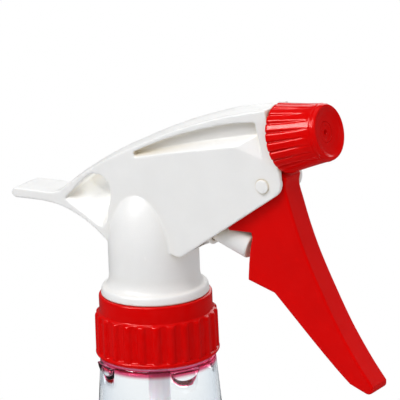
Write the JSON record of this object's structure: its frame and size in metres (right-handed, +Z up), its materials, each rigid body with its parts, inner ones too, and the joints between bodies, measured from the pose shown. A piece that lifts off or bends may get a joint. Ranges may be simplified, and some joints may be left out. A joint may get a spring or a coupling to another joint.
{
  "type": "hand mister",
  "caption": "Trigger spray bottle: clear bottle with a ribbed screw collar, white pump head with a thumb tail, red trigger and fluted turning nozzle.",
  "frame": {"origin": "middle of the bottle's foot, on the plane it stands on", "axes": "+Z up along the bottle's axis, +X the way the nozzle points, seen from above"},
  "size_m": [0.1117, 0.068, 0.2558],
  "materials": {
    "clear_plastic": "clear blown PET, glossy, slightly blue-grey",
    "red_gloss": "moulded polypropylene, glossy",
    "red_satin": "moulded polypropylene, fine satin texture",
    "white_plastic": "moulded polypropylene, fine satin texture",
    "milky_plastic": "natural polyethylene, translucent",
    "soft_seal": "foamed seal disc, matt",
    "dark_rubber": "moulded rubber, matt",
    "steel": "drawn stainless wire, bright"
  },
  "bodies": {
    "bottle": {"bottle": "clear_plastic"},
    "head": {"shroud": "white_plastic", "pump_body": "white_plastic", "mouth_gasket": "soft_seal", "dip_tube_holder": "white_plastic", "dip_tube": "milky_plastic", "nozzle_base": "white_plastic", "swirl_core": "white_plastic", "outlet_spring": "steel", "return_spring": "steel", "trigger_pin": "white_plastic"},
    "collar": {"screw_collar": "red_gloss"},
    "trigger": {"trigger": "red_satin"},
    "piston": {"piston": "white_plastic", "piston_seal": "dark_rubber", "vent_seal": "dark_rubber"},
    "inlet_ball": {"inlet_ball": "steel"},
    "outlet_valve": {"outlet_valve": "milky_plastic"},
    "nozzle_slider": {"nozzle_seal": "dark_rubber"},
    "nozzle": {"nozzle_cap": "red_gloss", "orifice_insert": "red_gloss"}
  },
  "joints": [
    {"name": "head_lift", "type": "slide", "parent": "bottle", "child": "head", "axis": [0, 0, 1], "range_m": [0, 0.00845]},
    {"name": "collar_turn", "type": "hinge", "parent": "head", "child": "collar", "pos_m": [0, 0, 0.19], "axis": [0, 0, 1], "range_deg": [0, 720]},
    {"name": "trigger_pull", "type": "hinge", "parent": "head", "child": "trigger", "pos_m": [0.039, 0, 0.2335], "axis": [0, 1, 0], "range_deg": [0, 20]},
    {"name": "piston_stroke", "type": "slide", "parent": "head", "child": "piston", "axis": [-0.9298, 0, 0.3681], "range_m": [0, 0.0068], "deforming": ["return_spring"]},
    {"name": "inlet_ball_lift", "type": "slide", "parent": "head", "child": "inlet_ball", "axis": [0, 0, 1], "range_m": [0, 0.0012]},
    {"name": "outlet_valve_open", "type": "slide", "parent": "head", "child": "outlet_valve", "axis": [0.9744, 0, 0.225], "range_m": [0, 0.001], "deforming": ["outlet_spring"]},
    {"name": "nozzle_advance", "type": "slide", "parent": "head", "child": "nozzle_slider", "axis": [0.9744, 0, 0.225], "range_m": [0, 0.0031]},
    {"name": "nozzle_turn", "type": "hinge", "parent": "nozzle_slider", "child": "nozzle", "pos_m": [0.0425, 0, 0.2455], "axis": [0.9744, 0, 0.225], "range_deg": [0, 540]}
  ],
  "couplings": [
    {"joint": "collar_turn", "follows": "head_lift", "rad_per_m": 1485.4},
    {"joint": "piston_stroke", "follows": "trigger_pull", "m_per_rad": 0.0192},
    {"joint": "nozzle_advance", "follows": "nozzle_turn", "m_per_rad": 0.00031831}
  ]
}
